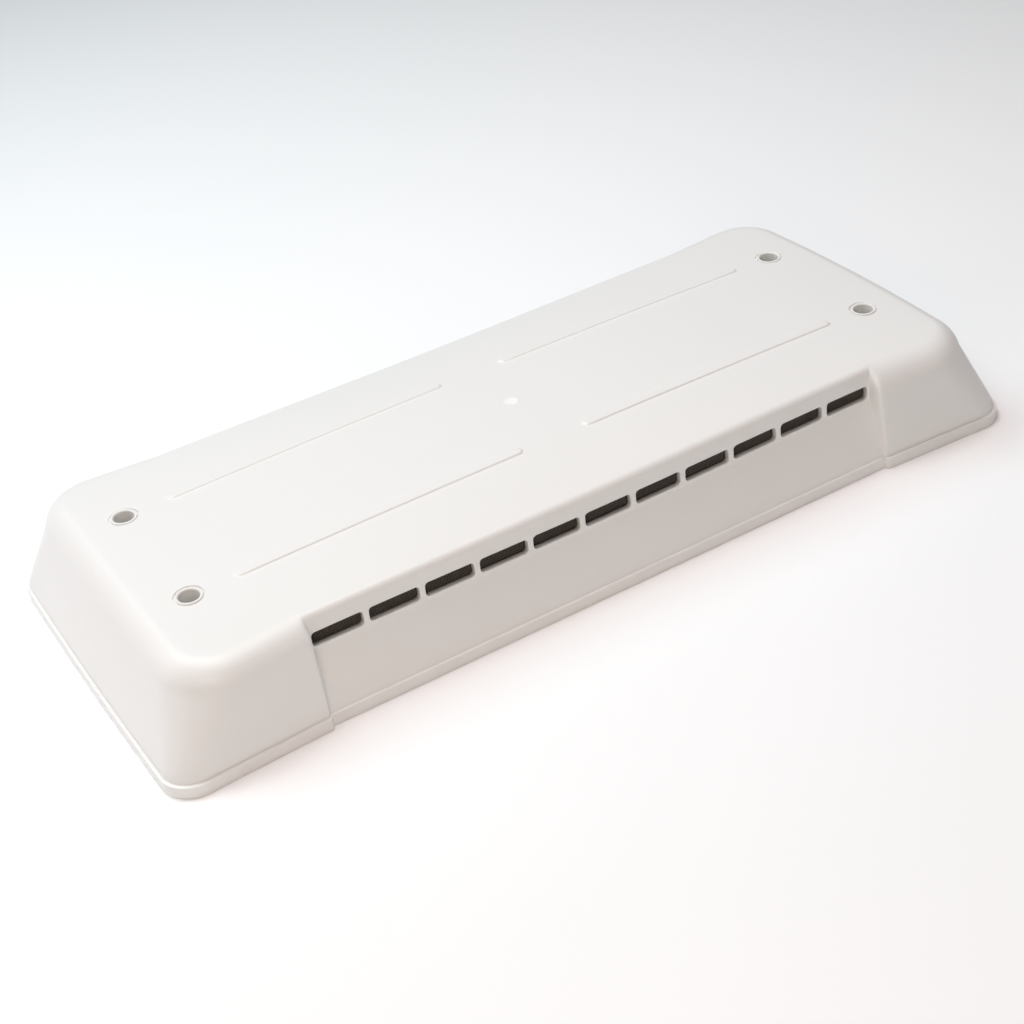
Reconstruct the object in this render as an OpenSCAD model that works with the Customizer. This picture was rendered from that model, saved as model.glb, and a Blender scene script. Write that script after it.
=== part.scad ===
// Roof vent cover for an absorption-refrigerator flue or roof duct.
// A moulded cap sits over a moulded roof base and is held by four screws in deep wells.
// Frame: origin at the centre of the underside, X along the length, Y across, Z up.
// Front is -Y. All sizes are millimetres.

/* [Cap] */
// Length of the cap over its rim
cap_l = 700; // [640:1:760]
// Width of the cap over the rim at its ends
cap_w = 300; // [290:1:320]
// Width over the rim where the lobes meet the vent recess
notch_w = 290.6; // [286:0.2:296]
// Width over the rim along the vent recess
recess_w = 282; // [276:1:284]
// Plan radius of the rim's corners
rim_r = 23; // [16:1:30]
// Height of the rim band
rim_h = 10; // [8:1:14]
// How far the rim band stands out from the wall
rim_lip = 1.2; // [0.6:0.1:2]
// Wall thickness of the cap
wall = 2.8; // [2.4:0.1:3.4]
// Height of the crown at the middle
crown_z = 88; // [86:1:96]
// How far the ridge falls at the screw wells
ridge_fall = 4.6; // [2:0.1:6]
// Height of the long top edge at mid length
edge_mid_z = 78; // [76:1:82]
// Height of the long top edge on the lobes
edge_end_z = 79.6; // [78:0.2:84]
// Inward lean of the end walls, as run over rise
end_lean = 0.336; // [0.25:0.01:0.42]
// Inward lean of the lobe side walls, as run over rise
side_lean = 0.14; // [0.1:0.01:0.2]
// Inward lean of the recess walls below the vent band, as run over rise
recess_lean = 0.336; // [0.3:0.004:0.36]
// Inward lean of the vent band that holds the slots, as run over rise
band_lean = 0.02; // [0:0.01:0.04]
// Radius where the lobes turn into the top
lobe_fillet = 19.4; // [14:0.2:24]
// Radius where the recess wall turns into the top
recess_fillet = 5; // [3:0.5:8]
// Half length of the recess at the rim
recess_x = 233.4; // [232:0.1:236]
// Half length of the recess at the top
recess_top_x = 232.6; // [232:0.1:236]

/* [Vent slots] */
// Slots in each long side
slot_count = 11; // [7:2:11]
// Distance from slot to slot
slot_pitch = 42.12; // [40:0.01:42.2]
// Length of a slot
slot_l = 37.8; // [30:0.1:38]
// Height of a slot
slot_h = 11.2; // [9:0.2:11.6]
// Corner radius of a slot
slot_r = 3; // [1:0.5:4]
// Height of the slot row's centre next to the lobes
slot_z = 59.8; // [58.5:0.1:61]
// How far the slot row sags at mid length
slot_sag = 1.8; // [0:0.1:2.4]
// From the slot row's centre down to the crease where the vent band starts
crease_drop = 8.2; // [7.6:0.1:8.6]

/* [Screw wells] */
// Distance from the middle to a well along X
well_x = 282.4; // [276:0.1:286]
// Distance from the middle to a well along Y
well_y = 58.5; // [50:0.5:70]
// Radius of the well's open bore
well_r = 7.3; // [7:0.1:8]
// Outer radius of the well's tube
well_tube_r = 9.4; // [9.2:0.1:9.8]
// Radius of the well's collar on top of the cap
well_collar_r = 10.6; // [10.4:0.1:12]
// Height of the collar's seat
well_seat_z = 81.3; // [81:0.1:81.8]
// Thickness of the collar
well_collar_t = 1.6; // [1.2:0.1:2]
// Thickness of the web that the screw bears on
well_web_t = 6; // [4:0.5:8]
// Radius of the screw hole through the web
web_hole_r = 2.75; // [2.6:0.05:3]

/* [Cap screws] */
// Radius of the screw's shank
screw_r = 2.1; // [2.1:0.01:2.12]
// Length of the shank under the head
screw_l = 29.4; // [24:0.2:30]
// Radius of the screw's head
head_r = 4.6; // [4.2:0.1:5]
// Height of the screw's head
head_h = 3.4; // [3:0.1:4]
// Width of the cross recess
drive_w = 1.3; // [1:0.1:1.5]
// Radius of the sealing washer
washer_r = 6.2; // [5.5:0.1:7]
// Thickness of the sealing washer
washer_t = 1.4; // [1:0.1:2]

/* [Roof base] */
// Length of the base flange
base_l = 664; // [650:1:672]
// Width of the base flange
base_w = 258; // [250:1:264]
// Corner radius of the base flange
base_r = 18; // [10:1:24]
// Thickness of the base flange
base_t = 3; // [2.5:0.5:4]
// Thickness of the roof gasket under the flange
gasket_t = 3; // [2:0.5:4]
// Width of the gasket strip
gasket_w = 26; // [22:1:30]
// Length of the throat opening
throat_l = 508; // [480:1:510]
// Width of the throat opening
throat_w = 133; // [120:1:136]
// Corner radius of the throat
throat_r = 8; // [4:1:12]
// Wall thickness of the throat's collar
collar_t = 3; // [2.5:0.5:4]
// Height of the collar's top
collar_z = 30; // [26:1:34]
// Outward width of the collar's top ledge
ledge_w = 13; // [12:1:14]
// Height of the screw posts' top faces
post_z = 46; // [42:1:48]
// Radius of a screw post
post_r = 9; // [8:0.5:10]
// Reach of a post's ribs from its axis
post_rib = 15; // [12:1:16]
// Radius of the roof screw holes
roof_hole_r = 2.6; // [2.2:0.1:3]
// Holes along each long side
roof_hole_count = 6; // [6:2:6]
// Distance between roof screw holes along a long side
roof_hole_pitch = 126; // [120:1:126]
// Distance between the two rows of roof screw holes
roof_row_w = 232; // [228:1:236]

/* [Thread inserts] */
// Outer radius of a thread insert
insert_r = 3.6; // [3.4:0.1:4]
// Length of a thread insert
insert_l = 12; // [8:1:14]
// Radius of the insert's bore
insert_bore_r = 2.15; // [2.15:0.01:2.2]

/* [Throat screen] */
// Distance between the wires of the bird screen
wire_pitch = 12.7; // [10:0.1:16]
// Thickness of a wire
wire_t = 1.1; // [0.9:0.1:1.4]
// Thickness of the screen's clamping frame
clamp_t = 3; // [2:0.5:4]
// Width of the screen's clamping frame
clamp_w = 11; // [10:0.5:12]
// Radius of the clamping screws' heads
clamp_head_r = 3.4; // [3:0.1:3.6]

/* [Slot screens] */
// Height of a slot screen along the wall
mesh_h = 22; // [20:1:24]
// Thickness of a slot screen
mesh_t = 0.6; // [0.5:0.1:0.8]
// Thickness of the screen's retaining frame
retainer_t = 2.4; // [2:0.1:3]
// Width of the retaining frame's rails
retainer_w = 4; // [3.6:0.1:4.2]
// Radius of the retaining screws' heads
retainer_head_r = 2.2; // [2:0.1:2.4]

/* [Hidden] */

$fn = 48;
end_bow = 1.25;            // how far the end walls bow out at their middle
top_r = 40.9;              // plan corner radius where the lobe fillet starts
edge_y = 125.7;            // where the recess wall and the top would meet
dome_flat_x = 240;         // beyond this the long edge stays level
step_w = 1.8;              // run of the step between recess and lobe at the rim
step_top_w = 3.9;          // the same at the top
recess_pts = 7;
lobe_pts = 4;
corner_pts = 7;
end_pts = 4;
wall_rings = 3;
fillet_rings = 5;
top_rings = 4;

web_z = post_z + well_web_t;       // face that the washer bears on
well_gap = 0.1;                    // play round a well's tube and collar in the cap
head_z = web_z + washer_t;
flange_z = gasket_t + base_t;      // top of the base flange
wire_weld = 0.2;                   // how far crossing wires are sunk into each other at their welds
screen_lap = 7;                    // how far the bird screen lies on the collar's ledge
clamp_z = collar_z + 2 * wire_t - wire_weld;
clamp_shank_r = 1.6;
clamp_head_h = 2.2;
ledge_t = 3;
insert_z = post_z - insert_l - 0.2;
pilot_r = 2.6;
pilot_depth = 30;
mesh_gap = 1.8;                    // from the inside of the recess wall to the slot screen
retainer_shank_r = 1.1;
retainer_head_h = 1.6;
retainer_bite = 1.6;               // how deep the retaining screws cut into the wall

// ---- cap surface ----

// Height of the long top edge at x
function edge_z(x) = let(u = min(abs(x), dome_flat_x) / dome_flat_x)
  edge_mid_z + (edge_end_z - edge_mid_z) * u * u
  + 1.5 * (1 - cos(180 * u)) * (1 - u) / 2 ;

// Height of the crowned top over a point
function dome(x, y) = let(ridge = crown_z - ridge_fall * pow(x / well_x, 2))
  ridge - (ridge - edge_z(x)) * pow(y / edge_y, 2);

// Inset and drop of a fillet between a wall that leans by angle lean and the top, at part u of its turn
function fillet_in(r, lean, u) = r * (1 - sin(lean)) / cos(lean) - r * cos(lean + (90 - lean) * u);
function fillet_drop(r, lean, u) = r - r * sin(lean + (90 - lean) * u);

end_angle = atan(end_lean);
side_angle = atan(side_lean);
band_angle = atan(band_lean);
end_corner = rim_lip + end_lean * (dome(cap_l / 2 - 30, 0) - rim_h);
side_corner = rim_lip + side_lean * (dome(290, 125) - rim_h);

// One quarter of a level line, from the middle of the long side to the middle of the end.
// ie, is and ir are the insets of the end, the lobe side and the recess; w goes from 0 at the rim to 1 on top.
// Each point carries 1 where it lies in the recess and 0 elsewhere.
function quarter(ie, is, ir, r, w, t) =
  let(a = cap_l / 2 - ie, b = cap_w / 2 - is, bn = notch_w / 2 - is, br = recess_w / 2 - ir,
      xi = recess_x + (recess_top_x - recess_x) * w + t,
      xo = xi + step_w + (step_top_w - step_w) * w,
      xc = a - end_bow - r)
  concat(
    [for (i = [0 : recess_pts - 1]) [xi * i / (recess_pts - 1), br, 1]],
    [for (i = [0 : lobe_pts - 1]) let(u = i / (lobe_pts - 1)) [xo + (xc - xo) * u, bn + (b - bn) * u, 0]],
    [for (i = [1 : corner_pts - 1])
      let(g = 90 * i / (corner_pts - 1)) [xc + r * sin(g), b - r + r * cos(g), 0]],
    [for (i = [1 : end_pts - 1]) let(y = (b - r) * (1 - i / (end_pts - 1)))
      [a - end_bow * pow(y / (b - r), 2), y, 0]]);

// The whole level line from a quarter of it
function whole(q) = let(n = len(q)) concat(
  [for (i = [0 : n - 1]) [q[i][0], -q[i][1], q[i][2]]],
  [for (i = [n - 2 : -1 : 0]) [q[i][0], q[i][1], q[i][2]]],
  [for (i = [1 : n - 1]) [-q[i][0], q[i][1], q[i][2]]],
  [for (i = [n - 2 : -1 : 1]) [-q[i][0], -q[i][1], q[i][2]]]);

function flat_ring(q, z) = [for (p = whole(q)) [p[0], p[1], z]];

// Height of the slot row's centre at x
function slot_row_z(x) = slot_z - slot_sag * (1 + cos(180 * min(abs(x) / 210, 1))) / 2;

// Recess insets at the crease under the vent band and at the sharp corner on top
crease_in = rim_lip + recess_lean * (slot_z - crease_drop - rim_h);
recess_corner = crease_in + band_lean * (edge_end_z - slot_z + crease_drop);
crease_u = (wall_rings - 1) / wall_rings;  // the wall ring that runs along the crease

// Ring u of the way up the walls, for a surface that lies t inside the outer one.
// In the recess the last wall ring runs along the crease, and the fillet's first ring ends the vent band.
function wall_ring(u, t) =
  let(ie = rim_lip + (end_corner + fillet_in(lobe_fillet, end_angle, 0) - rim_lip) * u + t,
      is = rim_lip + (side_corner + fillet_in(lobe_fillet, side_angle, 0) - rim_lip) * u + t,
      ir = rim_lip + (crease_in - rim_lip) * u / crease_u + t,
      r = (rim_r - rim_lip) * (1 - u) + top_r * u - t,
      ld = fillet_drop(lobe_fillet, side_angle, 0))
  [for (p = whole(quarter(ie, is, ir, r, 0.8 * u, t)))
    [p[0], p[1], rim_h + (p[2] == 1 ? (slot_row_z(p[0]) - crease_drop - rim_h) * u / crease_u
                                    : (dome(p[0], p[1]) - ld - t - rim_h) * u)]];

// Ring u of the way round the fillets
function fillet_ring(u, t) =
  let(fe = fillet_in(lobe_fillet, end_angle, u), fs = fillet_in(lobe_fillet, side_angle, u),
      ie = end_corner + fe + t, is = side_corner + fs + t,
      ir = recess_corner + fillet_in(recess_fillet, band_angle, u) + t,
      r = top_r - (fe - fillet_in(lobe_fillet, end_angle, 0)) - t,
      ld = fillet_drop(lobe_fillet, side_angle, u),
      rd = fillet_drop(recess_fillet, band_angle, u))
  [for (p = whole(quarter(ie, is, ir, r, 0.8 + 0.2 * u, t)))
    [p[0], p[1], dome(p[0], p[1]) - (p[2] == 1 ? rd : ld) - t]];

// Ring k towards the middle of the top
function top_ring(k, t) = let(s = 1 - k / (top_rings + 1))
  [for (p = fillet_ring(1, t)) [p[0] * s, p[1] * s, dome(p[0] * s, p[1] * s) - t]];

// All rings of a surface that lies t inside the outer one, from the bottom to the top
function side_rings(t) = concat(
  [flat_ring(quarter(t, t, t, rim_r - t, 0, t), t > 0 ? -1 : 0)],
  [flat_ring(quarter(t, t, t, rim_r - t, 0, t), rim_h - (t > 0 ? wall : 0.4))],
  [for (k = [0 : wall_rings - 1]) wall_ring(k / wall_rings, t)],
  [for (k = [0 : fillet_rings]) fillet_ring(k / fillet_rings, t)],
  [for (k = [1 : top_rings]) top_ring(k, t)]);

// Closed solid inside a stack of rings, flat below and fanned to a point on top
module ring_solid(rings, top_z) {
  n = len(rings[0]);
  m = len(rings);
  points = concat([for (r = rings) for (p = r) p], [[0, 0, rings[0][0][2]], [0, 0, top_z]]);
  faces = concat(
    [for (i = [0 : n - 1]) [n * m, i, (i + 1) % n]],
    [for (k = [0 : m - 2]) for (i = [0 : n - 1])
      [n * k + i, n * (k + 1) + i, n * k + (i + 1) % n]],
    [for (k = [0 : m - 2]) for (i = [0 : n - 1])
      [n * k + (i + 1) % n, n * (k + 1) + i, n * (k + 1) + (i + 1) % n]],
    [for (i = [0 : n - 1]) [n * (m - 1) + i, n * m + 1, n * (m - 1) + (i + 1) % n]]);
  polyhedron(points, faces, convexity = 6);
}

// ---- plan shapes ----

// Points of a rectangle with round corners
function round_rect(l, w, r, steps = 5) = [
  for (c = [[1, 1, 0], [-1, 1, 90], [-1, -1, 180], [1, -1, 270]])
    for (i = [0 : steps])
      let(g = c[2] + 90 * i / steps) [c[0] * (l / 2 - r) + r * cos(g), c[1] * (w / 2 - r) + r * sin(g)]];

// Flat ring with a round-cornered rectangle inside and out
module rect_ring(l, w, r, border, h) {
  difference() {
    linear_extrude(h) polygon(round_rect(l, w, r));
    translate([0, 0, -1])
      linear_extrude(h + 2) polygon(round_rect(l - 2 * border, w - 2 * border, max(r - border, 3)));
  }
}

// Puts its children on a well's axis: sx is -1 on the left, sy is -1 at the front
module at_well(sx, sy) {
  translate([sx * well_x, sy * well_y, 0]) children();
}

// ---- cap ----

module vent_slots() {
  for (side = [-1, 1])
    for (i = [0 : slot_count - 1]) {
      x = (i - (slot_count - 1) / 2) * slot_pitch;
      translate([x, side * 105, slot_row_z(x)])
        rotate([-90 * side, 0, 0])
          linear_extrude(50)
            hull()
              for (cx = [-1, 1])
                for (cy = [-1, 1])
                  translate([cx * (slot_l / 2 - slot_r), cy * (slot_h / 2 - slot_r)]) circle(r = slot_r, $fn = 16);
    }
}

module cap_shell() {
  color([0.95, 0.945, 0.935])
    difference() {
      ring_solid(side_rings(0), crown_z);
      ring_solid(side_rings(wall), crown_z - wall);
      vent_slots();
      for (sx = [-1, 1])
        for (sy = [-1, 1])
          at_well(sx, sy) {
            translate([0, 0, 60]) cylinder(r = well_tube_r + well_gap, h = 40);
            translate([0, 0, well_seat_z]) cylinder(r = well_collar_r + well_gap, h = 20);
          }
    }
}

module screw_well(sx, sy) {
  color([0.93, 0.925, 0.91])
    at_well(sx, sy)
      difference() {
        union() {
          translate([0, 0, post_z]) cylinder(r = well_tube_r, h = well_seat_z - post_z + 0.5);
          translate([0, 0, well_seat_z]) cylinder(r = well_collar_r, h = well_collar_t);
        }
        translate([0, 0, web_z]) cylinder(r = well_r, h = 60);
        translate([0, 0, post_z - 1]) cylinder(r = web_hole_r, h = well_web_t + 2);
      }
}

// Places its children on the inside of a vent band: X along it, Y into the cap, Z up the band
module on_vent_band(side) {
  mid_z = slot_z - slot_sag / 2;
  inner_y = recess_w / 2 - crease_in - band_lean * crease_drop - wall - mesh_gap;
  rotate([0, 0, side < 0 ? 0 : 180])
    translate([0, -inner_y, mid_z])
      rotate([-band_angle, 0, 0]) children();
}

mesh_l = (slot_count - 1) * slot_pitch + slot_l - 1;

// Puts its children on the axis of each retaining screw, between every second pair of slots
module at_retainer_screws() {
  for (i = [-2 : 2])
    for (s = [-1, 1])
      translate([(2 * i + (i > 0 ? -0.5 : 0.5)) * slot_pitch, 0, s * (mesh_h - retainer_w) / 2])
        rotate([-90, 0, 0]) children();
}

module slot_screen(side) {
  color([0.12, 0.11, 0.1])
    on_vent_band(side)
      difference() {
        translate([-mesh_l / 2, 0, -mesh_h / 2]) cube([mesh_l, mesh_t, mesh_h]);
        at_retainer_screws() translate([0, 0, -1]) cylinder(r = retainer_shank_r, h = mesh_t + 2);
      }
}

module screen_retainer(side) {
  window = slot_pitch - retainer_w;
  color([0.2, 0.19, 0.18])
    on_vent_band(side)
      translate([0, mesh_t, 0])
        difference() {
          translate([-mesh_l / 2, 0, -mesh_h / 2]) cube([mesh_l, retainer_t, mesh_h]);
          for (i = [0 : slot_count - 1])
            translate([(i - (slot_count - 1) / 2) * slot_pitch - window / 2, -1, -mesh_h / 2 + retainer_w])
              cube([window, retainer_t + 2, mesh_h - 2 * retainer_w]);
          at_retainer_screws() translate([0, 0, -1]) cylinder(r = retainer_shank_r, h = retainer_t + 2);
        }
}

module retainer_screws(side) {
  color("silver")
    on_vent_band(side)
      at_retainer_screws() {
        translate([0, 0, mesh_t + retainer_t]) cylinder(r = retainer_head_r, h = retainer_head_h);
        translate([0, 0, -mesh_gap - retainer_bite])
          cylinder(r = retainer_shank_r, h = mesh_gap + retainer_bite + mesh_t + retainer_t + 0.5);
      }
}

// ---- roof base ----

module roof_holes(z, h, r) {
  for (sy = [-1, 1])
    for (i = [0 : roof_hole_count - 1])
      translate([(i - (roof_hole_count - 1) / 2) * roof_hole_pitch, sy * roof_row_w / 2, z])
        cylinder(r = r, h = h);
  for (sx = [-1, 1])
    translate([sx * (roof_hole_count - 1) / 2 * roof_hole_pitch, 0, z]) cylinder(r = r, h = h);
}

module post(sx, sy) {
  at_well(sx, sy) {
    translate([0, 0, flange_z - 0.5]) cylinder(r = post_r, h = post_z - flange_z + 0.5);
    translate([-post_rib, -1.25, flange_z - 0.5]) cube([2 * post_rib, 2.5, 26]);
    translate([-1.25, -post_rib, flange_z - 0.5]) cube([2.5, 2 * post_rib, 26]);
  }
}

module base_frame() {
  color([0.9, 0.895, 0.88])
    difference() {
      union() {
        translate([0, 0, gasket_t]) linear_extrude(base_t) polygon(round_rect(base_l, base_w, base_r));
        translate([0, 0, gasket_t])
          linear_extrude(collar_z - gasket_t)
            polygon(round_rect(throat_l + 2 * collar_t, throat_w + 2 * collar_t, throat_r + collar_t));
        translate([0, 0, collar_z - ledge_t])
          linear_extrude(ledge_t)
            polygon(round_rect(throat_l + 2 * ledge_w, throat_w + 2 * ledge_w, throat_r + ledge_w));
        for (sx = [-1, 1]) for (sy = [-1, 1]) post(sx, sy);
      }
      translate([0, 0, -1]) linear_extrude(collar_z + 2) polygon(round_rect(throat_l, throat_w, throat_r));
      roof_holes(0, 20, roof_hole_r);
      translate([0, 0, collar_z - ledge_t - 1]) clamp_positions() cylinder(r = clamp_shank_r, h = ledge_t + 2);
      for (sx = [-1, 1])
        for (sy = [-1, 1])
          at_well(sx, sy) {
            translate([0, 0, insert_z]) cylinder(r = insert_r, h = insert_l + 1);
            translate([0, 0, post_z - pilot_depth]) cylinder(r = pilot_r, h = pilot_depth + 1);
          }
    }
}

module roof_gasket() {
  color([0.25, 0.25, 0.26])
    difference() {
      rect_ring(base_l - 2, base_w - 2, base_r, gasket_w, gasket_t);
      roof_holes(-1, 10, roof_hole_r);
    }
}

module thread_insert(sx, sy) {
  color("goldenrod")
    at_well(sx, sy)
      translate([0, 0, insert_z])
        difference() {
          cylinder(r = insert_r, h = insert_l);
          translate([0, 0, -1]) cylinder(r = insert_bore_r, h = insert_l + 2);
        }
}

wires_x = floor(throat_l / wire_pitch / 2);
wires_y = floor(throat_w / wire_pitch / 2);
screen_hx = throat_l / 2 + screen_lap;
screen_hy = throat_w / 2 + screen_lap;

module throat_screen() {
  color([0.7, 0.7, 0.71])
    union() {
      for (j = [-wires_y : wires_y])
        translate([-screen_hx, j * wire_pitch - wire_t / 2, collar_z]) cube([2 * screen_hx, wire_t, wire_t]);
      for (i = [-wires_x : wires_x])
        translate([i * wire_pitch - wire_t / 2, -screen_hy, collar_z + wire_t - wire_weld])
          cube([wire_t, 2 * screen_hy, wire_t]);
    }
}

// Puts its children on the axis of each clamping screw, midway between two wires
module clamp_positions() {
  x_end = throat_l / 2 + clamp_w / 2 + 1;
  y_end = throat_w / 2 + clamp_w / 2 + 1;
  for (sy = [-1, 1])
    for (i = [-2 : 2])
      translate([(10 * i + (i > 0 ? -0.5 : 0.5)) * wire_pitch, sy * y_end, 0]) children();
  for (sx = [-1, 1]) translate([sx * x_end, wire_pitch / 2, 0]) children();
}

module screen_clamp_frame() {
  color([0.88, 0.875, 0.86])
    difference() {
      translate([0, 0, clamp_z])
        rect_ring(throat_l + 2 * clamp_w + 2, throat_w + 2 * clamp_w + 2, throat_r + clamp_w,
                  clamp_w + 1, clamp_t);
      translate([0, 0, clamp_z - 1]) clamp_positions() cylinder(r = clamp_shank_r, h = clamp_t + 2);
    }
}

module clamp_screws() {
  color("silver")
    clamp_positions() {
      translate([0, 0, clamp_z + clamp_t]) cylinder(r = clamp_head_r, h = clamp_head_h);
      translate([0, 0, collar_z - ledge_t])
        cylinder(r = clamp_shank_r, h = clamp_z + clamp_t - collar_z + ledge_t + 0.5);
    }
}

// ---- cap screws ----

module cap_screw(sx, sy) {
  color("silver")
    at_well(sx, sy)
      difference() {
        union() {
          translate([0, 0, head_z]) cylinder(r = head_r, h = head_h);
          translate([0, 0, head_z - screw_l]) cylinder(r = screw_r, h = screw_l + 0.5);
        }
        for (a = [0, 90])
          translate([0, 0, head_z + head_h])
            rotate([0, 0, a]) cube([5.2, drive_w, 3.6], center = true);
      }
}

module sealing_washer(sx, sy) {
  color([0.15, 0.15, 0.16])
    at_well(sx, sy)
      translate([0, 0, web_z])
        difference() {
          cylinder(r = washer_r, h = washer_t);
          translate([0, 0, -1]) cylinder(r = screw_r, h = washer_t + 2);
        }
}

base_frame();
roof_gasket();
throat_screen();
screen_clamp_frame();
clamp_screws();
thread_insert(-1, -1);  // thread_insert_front_left
thread_insert(1, -1);  // thread_insert_front_right
thread_insert(-1, 1);  // thread_insert_rear_left
thread_insert(1, 1);  // thread_insert_rear_right
cap_shell();
screw_well(-1, -1);  // screw_well_front_left
screw_well(1, -1);  // screw_well_front_right
screw_well(-1, 1);  // screw_well_rear_left
screw_well(1, 1);  // screw_well_rear_right
slot_screen(-1);  // slot_screen_front
slot_screen(1);  // slot_screen_rear
screen_retainer(-1);  // screen_retainer_front
screen_retainer(1);  // screen_retainer_rear
retainer_screws(-1);  // retainer_screws_front
retainer_screws(1);  // retainer_screws_rear
cap_screw(-1, -1);  // cap_screw_front_left
cap_screw(1, -1);  // cap_screw_front_right
cap_screw(-1, 1);  // cap_screw_rear_left
cap_screw(1, 1);  // cap_screw_rear_right
sealing_washer(-1, -1);  // sealing_washer_front_left
sealing_washer(1, -1);  // sealing_washer_front_right
sealing_washer(-1, 1);  // sealing_washer_rear_left
sealing_washer(1, 1);  // sealing_washer_rear_right
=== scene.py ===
import math

import bmesh
import bpy
import numpy as np
from mathutils import Matrix, Vector, geometry, kdtree


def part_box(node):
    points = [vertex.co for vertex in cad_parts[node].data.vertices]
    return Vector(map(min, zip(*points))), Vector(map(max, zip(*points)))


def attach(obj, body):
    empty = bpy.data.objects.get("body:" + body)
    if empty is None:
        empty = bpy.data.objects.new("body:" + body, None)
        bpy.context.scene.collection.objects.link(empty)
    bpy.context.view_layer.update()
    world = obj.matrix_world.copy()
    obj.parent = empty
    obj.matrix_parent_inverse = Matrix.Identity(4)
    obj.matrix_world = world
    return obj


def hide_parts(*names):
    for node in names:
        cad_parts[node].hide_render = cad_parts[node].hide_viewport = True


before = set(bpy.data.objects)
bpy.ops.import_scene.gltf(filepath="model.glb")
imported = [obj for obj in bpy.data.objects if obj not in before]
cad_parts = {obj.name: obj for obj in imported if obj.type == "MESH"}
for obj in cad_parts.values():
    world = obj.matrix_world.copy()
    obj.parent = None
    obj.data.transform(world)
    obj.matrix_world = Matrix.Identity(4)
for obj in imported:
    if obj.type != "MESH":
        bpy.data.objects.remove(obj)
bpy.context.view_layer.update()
mm = 0.001
print("frame loaded")

# camera, light and floor

shot = {
    "azimuth": -27.022, "elevation": 34.349, "roll": -7.608,  # degrees
    "distance": 1.3995, "target": (-0.014, -0.0077, 0), "lens": 65.53,
}


def makeCamera():
    azimuth, elevation, roll = (math.radians(shot[key]) for key in ("azimuth", "elevation", "roll"))
    back = Vector((math.sin(azimuth) * math.cos(elevation), -math.cos(azimuth) * math.cos(elevation),
                   math.sin(elevation)))
    right = Vector((math.cos(azimuth), math.sin(azimuth), 0))
    turned = Matrix((right, back.cross(right), back)).transposed() @ Matrix.Rotation(roll, 3, "Z")
    camera = bpy.data.objects.new("camera", bpy.data.cameras.new("camera"))
    place = Vector(shot["target"]) + back * shot["distance"]
    camera.matrix_world = Matrix.Translation(place) @ turned.to_4x4()
    camera.data.lens = shot["lens"]
    bpy.context.collection.objects.link(camera)
    bpy.context.scene.camera = camera


lamps = {
    "overhead": {"place": (0, 0, 2.2), "size": 1.6, "power": 29, "colour": (1, 0.89, 0.88)},
    "rear": {"place": (-0.7, 0.9, 1.9), "size": 1.6, "power": 22.9, "colour": (0.75, 0.954, 1)},
    "left": {"place": (-1.2, 0.5, 0.5), "size": 0.8, "power": 2.4, "colour": (1, 0.78, 0.79)},
    "front": {"place": (-0.9, -1.3, 0.7), "size": 0.8, "power": 5.2, "colour": (1, 0.82, 0.67)},
}
room = {"sky": (1, 1, 1), "strength": 0.1, "floor": (0.98, 0.985, 0.99), "floorSize": 8}


def makeLamp(name, lamp):
    light = bpy.data.lights.new(name, "AREA")
    light.shape, light.size = "DISK", lamp["size"]
    light.energy, light.color = lamp["power"], lamp["colour"]
    holder = bpy.data.objects.new(name, light)
    holder.location = lamp["place"]
    holder.rotation_euler = Vector(lamp["place"]).to_track_quat("Z", "Y").to_euler()
    bpy.context.collection.objects.link(holder)


def makeRoom():
    for name, lamp in lamps.items():
        makeLamp(name, lamp)
    world = bpy.data.worlds.new("room")
    world.use_nodes = True
    sky = world.node_tree.nodes["Background"].inputs
    sky["Color"].default_value = (*room["sky"], 1)
    sky["Strength"].default_value = room["strength"]
    bpy.context.scene.world = world
    bpy.context.scene.view_settings.view_transform = "Standard"
    half = room["floorSize"] / 2
    corners = [(-half, -half, 0), (half, -half, 0), (half, half, 0), (-half, half, 0)]
    mesh = bpy.data.meshes.new("floor")
    mesh.from_pydata(corners, [], [(0, 1, 2, 3)])
    floor = bpy.data.objects.new("floor", mesh)
    bpy.context.collection.objects.link(floor)
    paint = bpy.data.materials.new("floorPaint")
    paint.use_nodes = True
    shader = paint.node_tree.nodes["Principled BSDF"]
    shader.inputs["Base Color"].default_value = (*room["floor"], 1)
    shader.inputs["Roughness"].default_value = 0.9
    mesh.materials.append(paint)


makeCamera()
makeRoom()
print("camera, lamps and floor made")


def addNode(tree, kind, values=None, **settings):
    made = tree.nodes.new(kind)
    for key, value in settings.items():
        setattr(made, key, value)
    for key, value in (values or {}).items():
        if isinstance(value, bpy.types.NodeSocket):
            tree.links.new(value, made.inputs[key])
        else:
            made.inputs[key].default_value = value
    return made


def shade(tree, kind, values=None, output=0, **settings):
    return addNode(tree, "ShaderNode" + kind, values, **settings).outputs[output]


def form(tree, kind, values=None, output=0, **settings):
    return addNode(tree, "GeometryNode" + kind, values, **settings).outputs[output]


def calc(tree, operation, first, second=0.0, third=0.0):
    return shade(tree, "Math", {0: first, 1: second, 2: third}, operation=operation)


def newGroup(name, kind, inputs, outputs):  # an input is given as its value, or as its type where it has none
    tree = bpy.data.node_groups.new(name, kind)
    types = {float: "Float", int: "Int", tuple: "Vector"}
    for label, value in inputs.items():
        typed = isinstance(value, str)
        socket = "NodeSocket" + (value if typed else types[type(value)])
        made = tree.interface.new_socket(name=label, in_out="INPUT", socket_type=socket)
        if not typed:
            made.default_value = value
    for label, socket in outputs.items():
        tree.interface.new_socket(name=label, in_out="OUTPUT", socket_type="NodeSocket" + socket)
    return tree, tree.nodes.new("NodeGroupInput").outputs, tree.nodes.new("NodeGroupOutput").inputs


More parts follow.
